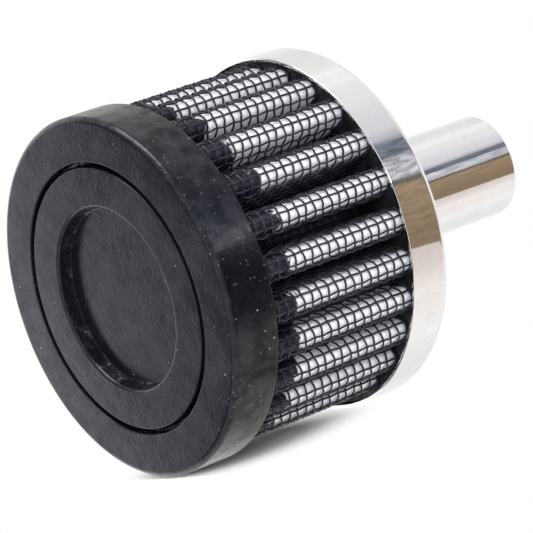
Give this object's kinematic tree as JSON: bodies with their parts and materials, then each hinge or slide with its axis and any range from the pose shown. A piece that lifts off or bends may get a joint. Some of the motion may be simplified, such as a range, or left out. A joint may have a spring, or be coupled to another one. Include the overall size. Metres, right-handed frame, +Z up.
{
  "type": "crankcase breather filter",
  "caption": "Small round push-in breather filter: moulded rubber cap, pleated gauze between wire screens, chromed base cup and a plain tube stem.",
  "frame": {"origin": "centre of the stem's open end", "axes": "+Z up the filter's axis, from the stem's open end to the face of the cap; X and Y square to it, with no preferred direction round the filter"},
  "size_m": [0.0514, 0.0514, 0.068],
  "materials": {
    "cap_rubber": "moulded, soft satin, finely pitted",
    "coated_wire": "black epoxy-coated woven wire",
    "gauze": "layered white cotton gauze",
    "inner_wire": "black epoxy-coated woven wire",
    "potting": "cast black polyurethane, slightly glossy",
    "cup_chrome": "bright plated pressed steel",
    "stem_chrome": "bright plated steel tube"
  },
  "bodies": {
    "root": {"end_cap": "cap_rubber", "outer_screen": "coated_wire", "filter_gauze": "gauze", "inner_screen": "inner_wire", "base_potting": "potting", "base_cup": "cup_chrome", "stem": "stem_chrome"}
  },
  "joints": []
}
